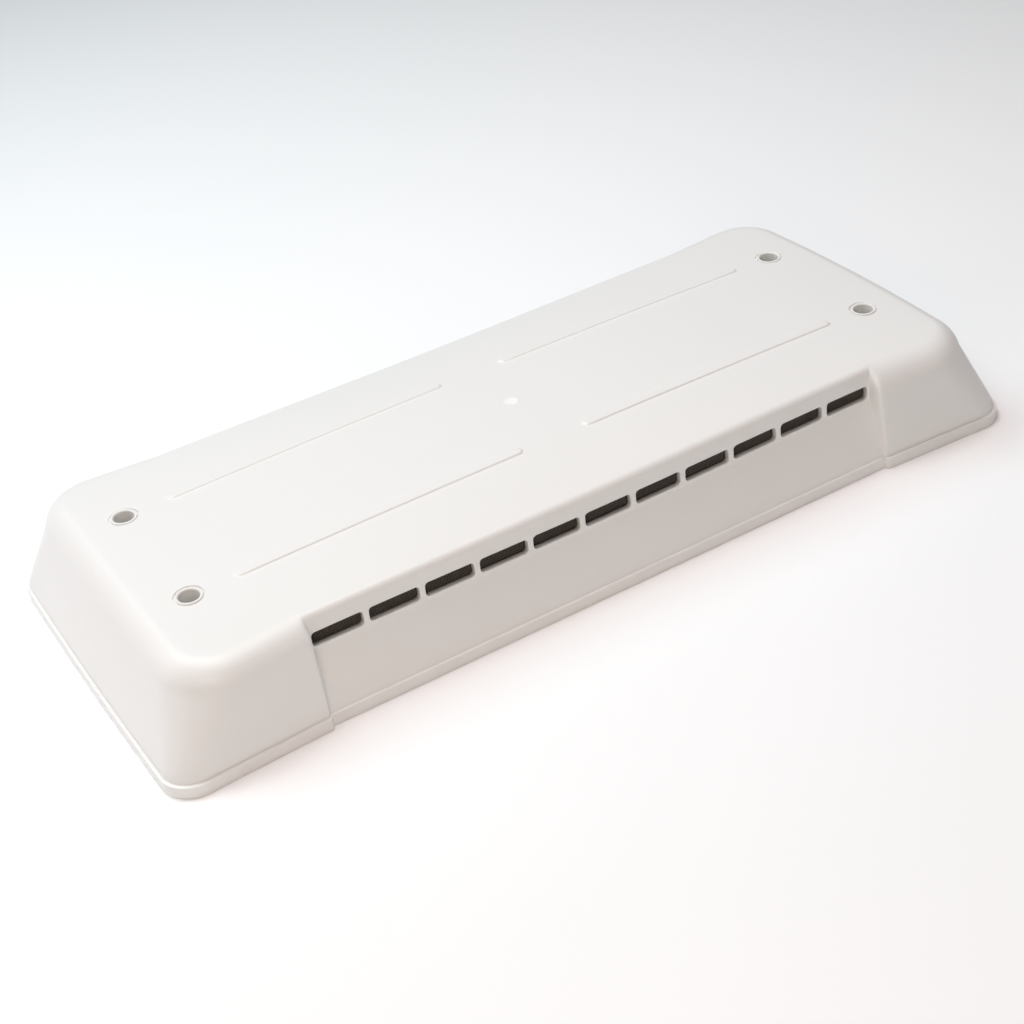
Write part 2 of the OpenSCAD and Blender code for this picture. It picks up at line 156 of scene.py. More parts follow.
def makeMouldGrain():  # fine spark-eroded grain of a moulded face, with a slow drift in gloss
    tree, given, result = newGroup(
        "mouldGrain", "ShaderNodeTree",
        {"Grain Size": 0.0011, "Depth": 1.0, "Gloss": 0.42, "Gloss Drift": 0.08},
        {"Height": "Float", "Roughness": "Float", "Shade": "Float"})
    place = shade(tree, "TexCoord", output="Object")
    scale = calc(tree, "DIVIDE", 1.0, given["Grain Size"])
    coarse = calc(tree, "MULTIPLY", scale, 0.8)
    fine = shade(tree, "TexNoise", {"Vector": place, "Scale": scale, "Detail": 3.0, "Roughness": 0.6}, "Fac")
    cells = shade(tree, "TexVoronoi", {"Vector": place, "Scale": coarse}, "Distance")
    slow = shade(tree, "TexNoise", {"Vector": place, "Scale": 9.0, "Detail": 4.0, "Roughness": 0.55}, "Fac")
    both = calc(tree, "MULTIPLY_ADD", cells, 0.35, fine)
    tree.links.new(calc(tree, "MULTIPLY", both, given["Depth"]), result["Height"])
    drift = calc(tree, "SUBTRACT", slow, 0.5)
    speck = calc(tree, "MULTIPLY", calc(tree, "SUBTRACT", fine, 0.5), 0.25)
    rough = calc(tree, "MULTIPLY_ADD", calc(tree, "ADD", drift, speck), given["Gloss Drift"], given["Gloss"])
    tree.links.new(rough, result["Roughness"])
    tree.links.new(calc(tree, "ADD", drift, calc(tree, "MULTIPLY", speck, 0.4)), result["Shade"])
    return tree


def makeDustFall():  # a thin film that settles on faces that look up, in soft patches
    tree, given, result = newGroup(
        "dustFall", "ShaderNodeTree", {"Amount": 0.1, "Patch Size": 0.03}, {"Mask": "Float"})
    up = shade(tree, "SeparateXYZ", {0: shade(tree, "NewGeometry", output="Normal")}, "Z")
    place = shade(tree, "TexCoord", output="Object")
    scale = calc(tree, "DIVIDE", 1.0, given["Patch Size"])
    film = {"Vector": place, "Scale": scale, "Detail": 6.0, "Roughness": 0.65}
    patch = shade(tree, "TexNoise", film, "Fac")
    lying = calc(tree, "MAXIMUM", up, 0.0)
    spread = shade(tree, "MapRange", {"Value": patch, "From Min": 0.4, "From Max": 0.75})
    mask = calc(tree, "MULTIPLY", calc(tree, "MULTIPLY", lying, spread), given["Amount"])
    tree.links.new(mask, result["Mask"])
    return tree


def makeGateBlush():  # the paler spot left where the mould was filled
    tree, given, result = newGroup(
        "gateBlush", "ShaderNodeTree", {"Centre": (0, 0, 0), "Radius": 0.004}, {"Mask": "Float"})
    spot = shade(tree, "TexCoord", output="Object")
    ragged = shade(tree, "TexNoise", {"Vector": spot, "Scale": 420.0, "Detail": 2.0}, "Fac")
    flat = shade(tree, "VectorMath", {0: spot, 1: (1, 1, 0)}, operation="MULTIPLY")
    away = shade(tree, "VectorMath", {0: flat, 1: given["Centre"]}, "Value", operation="DISTANCE")
    ratio = calc(tree, "DIVIDE", away, given["Radius"])
    edge = calc(tree, "ADD", ratio, calc(tree, "MULTIPLY_ADD", ragged, 0.9, -0.45))
    tree.links.new(shade(tree, "MapRange", {0: edge, 1: 0.75, 2: 1.1, 3: 1.0, 4: 0.0}), result["Mask"])
    return tree


def makeBrushing():  # short drawn scratches along one axis of a metal face
    tree, given, result = newGroup(
        "brushing", "ShaderNodeTree", {"Spacing": 0.0004, "Gloss": 0.3},
        {"Height": "Float", "Roughness": "Float", "Shade": "Float"})
    place = shade(tree, "TexCoord", output="Object")
    drawn = shade(tree, "Mapping", {"Vector": place, "Scale": (1, 1, 6)})
    scale = calc(tree, "DIVIDE", 1.0, given["Spacing"])
    lines = shade(tree, "TexNoise", {"Vector": drawn, "Scale": scale, "Detail": 3.0, "Roughness": 0.6}, "Fac")
    contrast = calc(tree, "SUBTRACT", lines, 0.5)
    tree.links.new(lines, result["Height"])
    tree.links.new(calc(tree, "MULTIPLY_ADD", contrast, 0.3, given["Gloss"]), result["Roughness"])
    tree.links.new(contrast, result["Shade"])
    return tree


mouldGrain, dustFall, brushing, gateBlush = makeMouldGrain(), makeDustFall(), makeBrushing(), makeGateBlush()


def newMaterial(name):
    made = bpy.data.materials.new(name)
    made.use_nodes = True
    return made, made.node_tree, made.node_tree.nodes["Principled BSDF"]


def layered(tree, under, over, mask):  # a colour over another colour, or over another node's colour
    mix = addNode(tree, "ShaderNodeMix", {"Factor": mask}, data_type="RGBA")
    if isinstance(under, bpy.types.NodeSocket):
        tree.links.new(under, mix.inputs[6])
    else:
        mix.inputs[6].default_value = (*under, 1)
    mix.inputs[7].default_value = (*over, 1)
    return mix.outputs[2]


def addBump(tree, shader, height, strength, distance):
    normal = shade(tree, "Bump", {"Height": height, "Strength": strength, "Distance": distance}, "Normal")
    tree.links.new(normal, shader.inputs["Normal"])


dustColour, blushColour = (0.62, 0.59, 0.55), (0.97, 0.97, 0.97)


def plastic(name, light, dark, grain=0.0011, gloss=0.42, drift=0.1, bump=0.12, dust=0.0, gate=None):
    made, tree, shader = newMaterial(name)
    sizes = {"Grain Size": grain, "Gloss": gloss, "Gloss Drift": drift}
    skin = addNode(tree, "ShaderNodeGroup", node_tree=mouldGrain)
    for label, value in sizes.items():
        skin.inputs[label].default_value = value
    factor = calc(tree, "ADD", calc(tree, "MULTIPLY", skin.outputs["Shade"], 0.9), 0.45)
    colour = layered(tree, light, dark, factor)
    if dust:
        film = addNode(tree, "ShaderNodeGroup", node_tree=dustFall)
        film.inputs["Amount"].default_value = dust
        colour = layered(tree, colour, dustColour, film.outputs["Mask"])
    if gate:
        blush = addNode(tree, "ShaderNodeGroup", node_tree=gateBlush)
        blush.inputs["Centre"].default_value = (gate["spot"][0] * mm, gate["spot"][1] * mm, 0)
        blush.inputs["Radius"].default_value = gate["blushRadius"] * mm
        colour = layered(tree, colour, blushColour, blush.outputs["Mask"])
    tree.links.new(colour, shader.inputs["Base Color"])
    tree.links.new(skin.outputs["Roughness"], shader.inputs["Roughness"])
    addBump(tree, shader, skin.outputs["Height"], bump, 0.0002)
    return made


def metal(name, light, dark, gloss=0.3, spacing=0.0004):
    made, tree, shader = newMaterial(name)
    shader.inputs["Metallic"].default_value = 1
    drawn = addNode(tree, "ShaderNodeGroup", node_tree=brushing)
    drawn.inputs["Gloss"].default_value = gloss
    drawn.inputs["Spacing"].default_value = spacing
    factor = calc(tree, "ADD", drawn.outputs["Shade"], 0.5)
    tree.links.new(layered(tree, light, dark, factor), shader.inputs["Base Color"])
    tree.links.new(drawn.outputs["Roughness"], shader.inputs["Roughness"])
    addBump(tree, shader, drawn.outputs["Height"], 0.15, 0.0001)
    return made


gateMark = {"spot": (0.8, -0.5), "radius": 4.4, "depth": 0.22, "slope": 0.9, "blushRadius": 5.2}
finishes = {
    "cap_plastic": plastic("capWhite", (0.88, 0.872, 0.855), (0.862, 0.853, 0.833), gloss=0.4, dust=0.02,
                           gate=gateMark),
    "well_plastic": plastic("wellWhite", (0.86, 0.85, 0.83), (0.83, 0.818, 0.79), gloss=0.46),
    "base_plastic": plastic("baseWhite", (0.8, 0.79, 0.765), (0.74, 0.725, 0.69), gloss=0.5, bump=0.2,
                            dust=0.25),
    "gasket_rubber": plastic("foamRubber", (0.035, 0.035, 0.037), (0.06, 0.06, 0.06), grain=0.0016,
                             gloss=0.85, bump=0.8),
    "washer_rubber": plastic("washerRubber", (0.02, 0.02, 0.021), (0.035, 0.035, 0.036), grain=0.0008,
                             gloss=0.6, bump=0.25),
    "dark_mesh": plastic("blackMesh", (0.11, 0.093, 0.08), (0.145, 0.122, 0.106), grain=0.0008, gloss=0.55,
                         bump=0.15),
    "retainer_plastic": plastic("charcoalPlastic", (0.075, 0.064, 0.056), (0.1, 0.086, 0.076), grain=0.001,
                                gloss=0.55, bump=0.2),
    "zinc_wire": metal("zincCoat", (0.62, 0.63, 0.64), (0.42, 0.43, 0.44), gloss=0.42, spacing=0.0012),
    "stainless": metal("stainlessSteel", (0.68, 0.67, 0.66), (0.5, 0.49, 0.48), gloss=0.26),
    "insert_brass": metal("turnedBrass", (0.78, 0.6, 0.28), (0.6, 0.43, 0.17)),
}
print("materials made")

# the cap and the turned pieces are worked out in millimetres

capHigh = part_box("cap_shell")[1] / mm
wellLow, wellHigh = (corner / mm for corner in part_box("screw_well_rear_right"))
wellSpot = (wellLow + wellHigh) / 2

cap = {
    "wall": 2.8, "notchWidth": 290.6, "recessWidth": 282,
    "rimHeight": 10, "rimStep": 1.2, "rimRound": 0.5, "rimRadius": 23, "rimOut": 0.8, "endBow": 1.25,
    "lipWidth": 2.5, "lipDrop": 0.8, "lipBlend": 0.15,
    "ridgeFall": 4.6, "edgeMidZ": 78, "edgeEndZ": 79.6, "edgeSwell": 1.5, "edgeY": 125.7, "levelX": 240,
    "topRadius": 40.9, "endLean": 0.336, "sideLean": 0.14, "recessLean": 0.336, "bandLean": 0.02,
    "lobeFillet": 19.4, "recessFillet": 5, "creaseSpan": 1.3, "creaseDrop": 8.2,
    "recessX": 233.4, "recessTopX": 232.6, "wallShare": 0.8, "flare": 0.15,
    "stepIn": 1.0, "stepOut": 2.0, "stepOutTop": 3.4, "stepFade": 6, "stepSlant": 0.6,
}
slots = {
    "count": 11, "pitch": 42.12, "length": 37.8, "height": 11.2, "radius": 3, "z": 59.8, "sag": 1.8,
    "lip": 0.3, "guard": 0.3, "bandBottom": -6.85, "bandTop": 7.4, "land": 1.75, "landWidth": 0.8,
}
beads = {"from": 24.6, "to": 249.6, "halfWidth": 4.3, "slope": 1.3, "endFade": 2.6, "height": 1.1}
capWells = {"holeRadius": 10.7, "tubeRadius": 9.5, "seatZ": 81.3, "edgeRound": 0.35}

halfLength, halfWidth = capHigh.x, capHigh.y


def edgeHeight(x):
    u = np.minimum(np.abs(x), cap["levelX"]) / cap["levelX"]
    return (cap["edgeMidZ"] + (cap["edgeEndZ"] - cap["edgeMidZ"]) * u ** 2
            + cap["edgeSwell"] * (1 - np.cos(math.pi * u)) * (1 - u) / 2)


def domeHeight(x, y):
    ridge = capHigh.z - cap["ridgeFall"] * (x / wellSpot.x) ** 2
    return ridge - (ridge - edgeHeight(x)) * (y / cap["edgeY"]) ** 2


def slotRow(x):
    return slots["z"] - slots["sag"] * (1 + np.cos(math.pi * np.minimum(np.abs(x) / 210, 1))) / 2


def smooth(u):
    u = np.clip(u, 0, 1)
    return u * u * (3 - 2 * u)


def beadHeight(x, y):  # four stiffening beads, steep along their sides and fading out at their ends
    near, far = beads["from"] + beads["halfWidth"], beads["to"] - beads["halfWidth"]
    along = np.abs(np.abs(x) - np.clip(np.abs(x), near, far))
    across = np.abs(y) - wellSpot.y
    slope = beads["slope"] + beads["endFade"] * along / beads["halfWidth"]
    return beads["height"] * smooth((beads["halfWidth"] - np.hypot(along, across)) / slope)


def topHeight(x, y):
    away = np.hypot(x - gateMark["spot"][0], y - gateMark["spot"][1])
    dimple = gateMark["depth"] * smooth((gateMark["radius"] - away) / gateMark["slope"])
    return domeHeight(x, y) + beadHeight(x, y) - dimple


def filletIn(radius, lean, u):
    return radius * (1 - math.sin(lean)) / math.cos(lean) - radius * math.cos(lean + (math.pi / 2 - lean) * u)


def filletDrop(radius, lean, u):
    return radius - radius * math.sin(lean + (math.pi / 2 - lean) * u)


endAngle, sideAngle, bandAngle = (math.atan(cap[key]) for key in ("endLean", "sideLean", "bandLean"))
endCorner = cap["rimStep"] + cap["endLean"] * (domeHeight(halfLength - 30, 0) - cap["rimHeight"])
sideCorner = cap["rimStep"] + cap["sideLean"] * (domeHeight(290, 125) - cap["rimHeight"])
creaseIn = cap["rimStep"] + cap["recessLean"] * (slots["z"] - cap["creaseDrop"] - cap["rimHeight"])
recessCorner = creaseIn + cap["bandLean"] * (cap["edgeEndZ"] - slots["z"] + cap["creaseDrop"])


def bandInset(offset):  # offset is the height over the slot row's middle
    return creaseIn + cap["bandLean"] * (offset + cap["creaseDrop"])


def recessLevel(part, u, t):  # inset from the rim and height over a point, for one level of the recess wall
    crease = lambda x: slotRow(x) - cap["creaseDrop"]
    low, span = cap["rimStep"], cap["creaseSpan"]
    if part == "lower":
        return low + (creaseIn - low) * u, lambda x, y: cap["rimHeight"] + (crease(x) - cap["rimHeight"]) * u
    if part == "crease":
        lean = math.atan(cap["recessLean"])
        inset = creaseIn - span * math.sin(lean) * (1 - u) ** 2 + span * cap["bandLean"] * u ** 2
        rise = span * (u ** 2 - math.cos(lean) * (1 - u) ** 2)
        return inset, lambda x, y: crease(x) + rise
    if part == "band":
        return bandInset(u), lambda x, y: slotRow(x) + u
    drop = filletDrop(cap["recessFillet"], bandAngle, max(u, 0))
    if part == "upper":
        start, end = bandInset(slots["bandTop"]), recessCorner + filletIn(cap["recessFillet"], bandAngle, 0)
        foot = lambda x: slotRow(x) + slots["bandTop"]
        drop = filletDrop(cap["recessFillet"], bandAngle, 0)
        return start + (end - start) * u, lambda x, y: foot(x) + (domeHeight(x, y) - drop - t - foot(x)) * u
    return (recessCorner + filletIn(cap["recessFillet"], bandAngle, u),
            lambda x, y: domeHeight(x, y) - drop - t)


def aboveLip(inset):  # keeps the foot of a wall behind the rim's flat lip
    return (inset + cap["lipWidth"] + math.hypot(inset - cap["lipWidth"], cap["lipBlend"])) / 2


def wallLevel(part, u, t):  # one level line of the walls, t inside the outer face
    inset, recessZ = recessLevel(part, u, t)
    top = cap["edgeEndZ"] - t
    z = float(recessZ(cap["recessTopX"], cap["edgeY"]))
    startDrop = filletDrop(cap["lobeFillet"], sideAngle, 0)
    startEnd = filletIn(cap["lobeFillet"], endAngle, 0)
    startSide = filletIn(cap["lobeFillet"], sideAngle, 0)
    low, rimH = cap["rimStep"], cap["rimHeight"]
    if z < top - startDrop:
        v = (z - rimH) / (top - startDrop - rimH)
        level = {"end": aboveLip(low + (endCorner + startEnd - low) * v),
                 "side": aboveLip(low + (sideCorner + startSide - low) * v),
                 "radius": (cap["rimRadius"] - low) * (1 - v) + cap["topRadius"] * v - t,
                 "w": cap["wallShare"] * v, "fade": 0,
                 "lobeZ": lambda x, y: rimH + (domeHeight(x, y) - startDrop - t - rimH) * v}
    else:
        turn = math.asin(min(1 - (top - z) / cap["lobeFillet"], 1))
        v = (turn - sideAngle) / (math.pi / 2 - sideAngle)
        if part == "fillet" and u == 1:
            v = 1
        endIn = filletIn(cap["lobeFillet"], endAngle, v)
        drop = filletDrop(cap["lobeFillet"], sideAngle, v)
        level = {"end": endCorner + endIn, "side": sideCorner + filletIn(cap["lobeFillet"], sideAngle, v),
                 "radius": cap["topRadius"] - (endIn - startEnd) - t,
                 "w": cap["wallShare"] * (1 - v) + v, "fade": v ** 2,
                 "lobeZ": lambda x, y: domeHeight(x, y) - drop - t}
    level.update(recess=inset, recessZ=recessZ)
    return level


def rimLevel(inset, z, t):
    flat = lambda x, y: z + 0 * x
    recess = inset * (cap["rimStep"] + cap["rimOut"]) / cap["lipWidth"] - cap["rimOut"]
    return {"end": inset, "side": inset, "recess": recess, "radius": cap["rimRadius"] - inset - t, "w": 0,
            "fade": 0, "recessZ": flat, "lobeZ": flat}


def quarterLine(level, t, counts):  # a quarter of a level line, from the middle of a side to that of an end
    a, b = halfLength - level["end"] - t, halfWidth - level["side"] - t
    notch = cap["notchWidth"] / 2 - level["side"] - t
    trough = cap["recessWidth"] / 2 - level["recess"] - t
    r, w = level["radius"], level["w"]
    stepX = cap["recessX"] + (cap["recessTopX"] - cap["recessX"]) * w + t
    rIn = cap["stepIn"] + 0.9 * t
    rOut = cap["stepOut"] + (cap["stepOutTop"] - cap["stepOut"]) * w + cap["stepFade"] * level["fade"]
    rOut = max(rOut - t, 0.5)
    rise = notch - trough
    hIn = math.copysign(min(rIn, abs(rise) * rIn / (rIn + rOut)), rise)
    hOut = math.copysign(min(rOut, abs(rise) * rOut / (rIn + rOut)), rise)
    x = [np.linspace(0, stepX - rIn, counts["recess"])]
    y = [np.full(counts["recess"], trough)]
    g = np.linspace(0, math.pi / 2, counts["stepIn"] + 1)[1:]
    x.append(stepX - rIn + rIn * np.sin(g))
    y.append(trough + hIn * (1 - np.cos(g)))
    g = np.linspace(0, math.pi / 2, counts["stepOut"] + 1)
    x.append(stepX + rOut * (1 - np.cos(g)))
    y.append(notch - hOut * (1 - np.sin(g)))
    centreX, tilt = a - cap["endBow"] - r, 0.0
    for _ in range(4):  # the side runs into the corner without a kink
        tilt = math.atan2(b - r * (1 - math.cos(tilt)) - notch, centreX - r * math.sin(tilt) - stepX - rOut)
    u = np.linspace(0, 1, counts["side"] + 1)[1:-1]
    x.append(stepX + rOut + (centreX - r * math.sin(tilt) - stepX - rOut) * u)
    y.append(notch + (b - r * (1 - math.cos(tilt)) - notch) * u)
    g = np.linspace(-tilt, math.pi / 2, counts["corner"] + 1)
    x.append(centreX + r * np.sin(g))
    y.append(b - r + r * np.cos(g))
    y.append((b - r) * (1 - np.arange(1, counts["end"] + 1) / counts["end"]))
    x.append(a - cap["endBow"] * (y[-1] / (b - r)) ** 2)
    x, y = np.concatenate(x), np.concatenate(y)
    stepEnd = counts["recess"] + counts["stepIn"] + counts["stepOut"] + 1
    lean = (x[:stepEnd] / stepX) ** 20  # only the last stretch of the recess leans outwards
    x[:stepEnd] -= cap["flare"] * np.maximum(notch - y[:stepEnd], 0) * lean
    share = np.ones(len(x))
    share[:counts["recess"]] = 0
    step = slice(counts["recess"], stepEnd)
    across = (x[step] - stepX + rIn) / (rIn + rOut)
    share[step] = (np.abs(y[step] - trough) + cap["stepSlant"] * across) / (abs(rise) + cap["stepSlant"])
    z = level["recessZ"](x, y) * (1 - share) + level["lobeZ"](x, y) * share
    return np.column_stack([x, y, z])


def wholeLine(quarter):  # anticlockwise from above, starting at the middle of the front
    flip = lambda points, sx, sy: points * (sx, sy, 1)
    return np.concatenate([flip(quarter, 1, -1), flip(quarter[-2::-1], 1, 1), flip(quarter[1:], -1, 1),
                           flip(quarter[-2:0:-1], -1, -1)])


class Skin:  # points and faces of a mesh while it is put together
    def __init__(self):
        self.points, self.faces = [], []

    def add(self, rows):
        start = len(self.points)
        self.points.extend(tuple(float(v) for v in row) for row in rows)
        return list(range(start, len(self.points)))

    def strip(self, lower, upper, skip=(), flip=False):
        count = len(lower)
        for i in range(count):
            if i not in skip:
                j = (i + 1) % count
                face = (lower[i], lower[j], upper[j], upper[i])
                self.faces.append(face[::-1] if flip else face)

    def fill(self, outer, loops, holes, flat, place, spacing, clearance, flip=False):
        ring = [flat(self.points[i]) for i in outer]
        known = list(outer) + [i for loop in loops for i in loop]
        flatPoints = [Vector(flat(self.points[i])) for i in known]
        edges, start = [], 0
        for loop in [outer, *loops]:
            edges += [(start + i, start + (i + 1) % len(loop)) for i in range(len(loop))]
            start += len(loop)
        tree = kdtree.KDTree(len(flatPoints))
        for i, spot in enumerate(flatPoints):
            tree.insert((*spot, 0), i)
        tree.balance()
        spots = gridSpots(ring, spacing)
        holeRings = [[flat(self.points[i]) for i in hole] for hole in holes]
        spots = [s for s in spots if tree.find((*s, 0))[2] > clearance]
        if spots:
            inside = insideRing(spots, ring)
            for hole in holeRings:
                inside &= ~insideRing(spots, hole)
            spots = [s for s, keep in zip(spots, inside) if keep]
        known += self.add([place(*s) for s in spots])
        flatPoints += [Vector(s) for s in spots]
        result = geometry.delaunay_2d_cdt(flatPoints, edges, [], 1, 1e-7)
        source = [ids[0] for ids in result[3]]
        tris = [[known[source[i]] for i in face] for face in result[2]]
        centres = [np.mean([flat(self.points[i]) for i in tri], axis=0) for tri in tris]
        keep = insideRing(centres, ring)
        for hole in holeRings:
            keep &= ~insideRing(centres, hole)
        for tri, wanted in zip(tris, keep):
            if wanted:
                self.faces.append(tri[::-1] if flip else tri)


def insideRing(spots, ring):
    spots, ring = np.asarray(spots, float), np.asarray(ring, float)
    inside = np.zeros(len(spots), bool)
    for (x0, y0), (x1, y1) in zip(ring, np.roll(ring, -1, axis=0)):
        crosses = (y0 > spots[:, 1]) != (y1 > spots[:, 1])
        slope = (x1 - x0) / (y1 - y0) if y1 != y0 else 0
        inside ^= crosses & (spots[:, 0] < x0 + (spots[:, 1] - y0) * slope)
    return inside


def gridSpots(ring, spacing):
    low, high = np.min(ring, axis=0), np.max(ring, axis=0)
    columns, rows = (np.maximum((high - low) // spacing, 1)).astype(int)
    stepX, stepY = (high[0] - low[0]) / columns, (high[1] - low[1]) / rows
    return [(low[0] + stepX * (i + 0.5 * (j % 2)), low[1] + stepY * j)
            for j in range(1, rows) for i in range(1, columns)]


def roundRect(length, height, radius, grow, steps=5):  # anticlockwise, centred on 0
    points = []
    for quadrant, (sx, sy) in enumerate(((1, 1), (-1, 1), (-1, -1), (1, -1))):
        for g in np.linspace(quadrant * 90, quadrant * 90 + 90, steps + 1):
            g = math.radians(g)
            points.append((sx * (length / 2 - radius) + (radius + grow) * math.cos(g),
                           sy * (height / 2 - radius) + (radius + grow) * math.sin(g)))
    full = []
    for (x0, y0), (x1, y1) in zip(points, points[1:] + points[:1]):
        parts = max(int(math.hypot(x1 - x0, y1 - y0) // 5), 1)
        full += [(x0 + (x1 - x0) * k / parts, y0 + (y1 - y0) * k / parts) for k in range(parts)]
    return full


def circleRow(spot, radius, height, count=56):  # height is one number, or a function of x and y
    row = []
    for g in np.linspace(0, 2 * math.pi, count, endpoint=False):
        x, y = spot[0] + radius * math.cos(g), spot[1] + radius * math.sin(g)
        row.append((x, y, height(x, y) if callable(height) else height))
    return row


def beadRow(sx, sy, distance):  # a line round one bead at a given distance from its middle line
    near, far = beads["from"] + beads["halfWidth"], beads["to"] - beads["halfWidth"]
    straight, turn = np.linspace(near, far, 29), np.linspace(0, math.pi, 13)[1:-1]
    row = [(x, -distance) for x in straight]
    row += [(far + distance * math.sin(g), -distance * math.cos(g)) for g in turn]
    row += [(x, distance) for x in straight[::-1]]
    row += [(near - distance * math.sin(g), distance * math.cos(g)) for g in turn]
    row = [(sx * x, sy * wellSpot.y + y) for x, y in row]
    return [(x, y, topHeight(x, y)) for x, y in (row if sx > 0 else row[::-1])]


def makeCapSkin():
    skin = Skin()
    wells = [(sx * wellSpot.x, sy * wellSpot.y) for sx in (-1, 1) for sy in (-1, 1)]
    rimH, rnd, wall = cap["rimHeight"] - cap["lipDrop"], cap["rimRound"], cap["wall"]
    counts = {"recess": 30, "stepIn": 4, "stepOut": 6, "side": 9, "corner": 18, "end": 14}
    middle = counts["recess"] + counts["stepIn"] + counts["stepOut"] + 1 + counts["side"] - 1
    middle = 2 * (middle + counts["corner"] + counts["end"])  # station at the middle of the rear

    outer = [rimLevel(rnd * (1 - math.sin(g)), rnd * (1 - math.cos(g)), 0)
             for g in np.linspace(0, math.pi / 2, 5)]
    outer += [rimLevel(0, z, 0) for z in (rnd + 0.4, rimH - rnd - 0.4)]
    outer += [rimLevel(rnd * (1 - math.cos(g)), rimH - rnd * (1 - math.sin(g)), 0)
              for g in np.linspace(0, math.pi / 2, 6)]
    outer += [rimLevel(cap["lipWidth"] - 0.12, rimH + 0.03, 0), rimLevel(cap["lipWidth"], rimH + 0.12, 0)]
    outer += [wallLevel("lower", u, 0) for u in (0.01, 0.022, 0.1, 0.25, 0.42, 0.6, 0.78, 0.9, 0.945)]
    outer += [wallLevel("crease", u, 0) for u in (0, 0.25, 0.5, 0.75)]
    first = len(outer)
    offsets = np.linspace(slots["bandBottom"], slots["bandTop"], 7)
    outer += [wallLevel("band", o, 0) for o in offsets]
    last = len(outer) - 1
    outer += [wallLevel("upper", u, 0) for u in (0.3, 0.6, 0.93)]
    outer += [wallLevel("fillet", u, 0) for u in np.linspace(0, 1, 13)]
    rings = [skin.add(wholeLine(quarterLine(level, 0, counts))) for level in outer]

    innerLevels = [rimLevel(0, z, wall) for z in (0.5, 3, rimH - wall)]
    innerLevels += [wallLevel("lower", u, wall) for u in (0.06, 0.3, 0.6, 0.9)]
    innerLevels += [wallLevel("crease", u, wall) for u in (0, 0.5)]
    innerFirst = len(innerLevels)
    innerLevels += [wallLevel("band", o, wall) for o in offsets]
    innerLast = len(innerLevels) - 1
    innerLevels += [wallLevel("upper", u, wall) for u in (0.5,)]
    innerLevels += [wallLevel("fillet", u, wall) for u in np.linspace(0, 1, 7)]
    innerFoot = rimLevel(-0.4, 0, wall)
    inner = [skin.add(wholeLine(quarterLine(level, wall, counts))) for level in [innerFoot, *innerLevels]]
    innerFirst, innerLast = innerFirst + 1, innerLast + 1

    total, reach = len(rings[0]), counts["recess"] - 1
    columns = {side: [(centre + j) % total for j in range(-reach, reach + 1)]
               for side, centre in ((-1, 0), (1, middle))}
    skipped = {i for row in columns.values() for i in row[:-1]}
    for k in range(len(rings) - 1):
        skin.strip(rings[k], rings[k + 1], skipped if first <= k < last else ())
    for k in range(len(inner) - 1):
        skin.strip(inner[k], inner[k + 1], skipped if innerFirst <= k < innerLast else (), flip=True)
    skin.strip(inner[0], rings[0])  # the foot of the rim

    for side in (-1, 1):  # the vent bands with their slots
        outerLoops, innerLoops = [], []
        for i in range(slots["count"]):
            outerLoop, innerLoop = makeSlot(skin, side, (i - (slots["count"] - 1) / 2) * slots["pitch"])
            outerLoops.append(outerLoop)
            innerLoops.append(innerLoop)
        flat = lambda p, s=-side: (s * p[0], p[2])
        for rows, loops, t, back in ((rings[first:last + 1], outerLoops, 0, False),
                                     (inner[innerFirst:innerLast + 1], innerLoops, wall, True)):
            cols = columns[side]
            border = [rows[0][c] for c in cols] + [row[cols[-1]] for row in rows[1:-1]]
            border += [rows[-1][c] for c in cols[::-1]] + [row[cols[0]] for row in rows[-2:0:-1]]

            def place(s, z, t=t):
                y = cap["recessWidth"] / 2 - bandInset(z - slotRow(s)) - t
                return (-side * s, side * y, z)
            skin.fill(border, loops, loops, flat, place, 3, 1.5, flip=back)

    flat = lambda p: (p[0], p[1])
    loops, holes = [], []
    edge, hole, tube = capWells["edgeRound"], capWells["holeRadius"], capWells["tubeRadius"]
    innerHoles = []
    for spot in wells:
        rows = [circleRow(spot, hole + edge + 0.5, topHeight)]
        rows += [circleRow(spot, hole + edge * (1 - math.sin(g)),
                           lambda x, y, d=edge * (1 - math.cos(g)): topHeight(x, y) - d)
                 for g in np.linspace(0, math.pi / 2, 4)]
        rows += [circleRow(spot, hole, capWells["seatZ"]), circleRow(spot, tube, capWells["seatZ"])]
        rows += [circleRow(spot, tube, lambda x, y: domeHeight(x, y) - wall + 0.3),
                 circleRow(spot, tube + 0.3, lambda x, y: domeHeight(x, y) - wall),
                 circleRow(spot, tube + 0.9, lambda x, y: domeHeight(x, y) - wall)]
        made = [skin.add(row) for row in rows]
        for upper, lower in zip(made, made[1:]):
            skin.strip(lower, upper, flip=True)
        loops.append(made[0])
        holes.append(made[0])
        innerHoles.append(made[-1])
    for sx in (-1, 1):
        for sy in (-1, 1):
            for inset in (-0.3, 0, 0.25, 0.5, 0.75, 1.0, 1.3, 1.7, 2.3, 3.1):
                loops.append(skin.add(beadRow(sx, sy, beads["halfWidth"] - inset)))
    radius = gateMark["radius"]
    for r in (radius + 0.4, radius, radius - 0.3, radius - 0.6, radius - 0.9, radius - 1.3):
        loops.append(skin.add(circleRow(gateMark["spot"], r, topHeight, 28)))
    skin.fill(rings[-1], loops, holes, flat, lambda x, y: (x, y, topHeight(x, y)), 7, 3)
    skin.fill(inner[-1], innerHoles, innerHoles, flat, lambda x, y: (x, y, domeHeight(x, y) - wall), 12, 5,
              flip=True)
    return skin


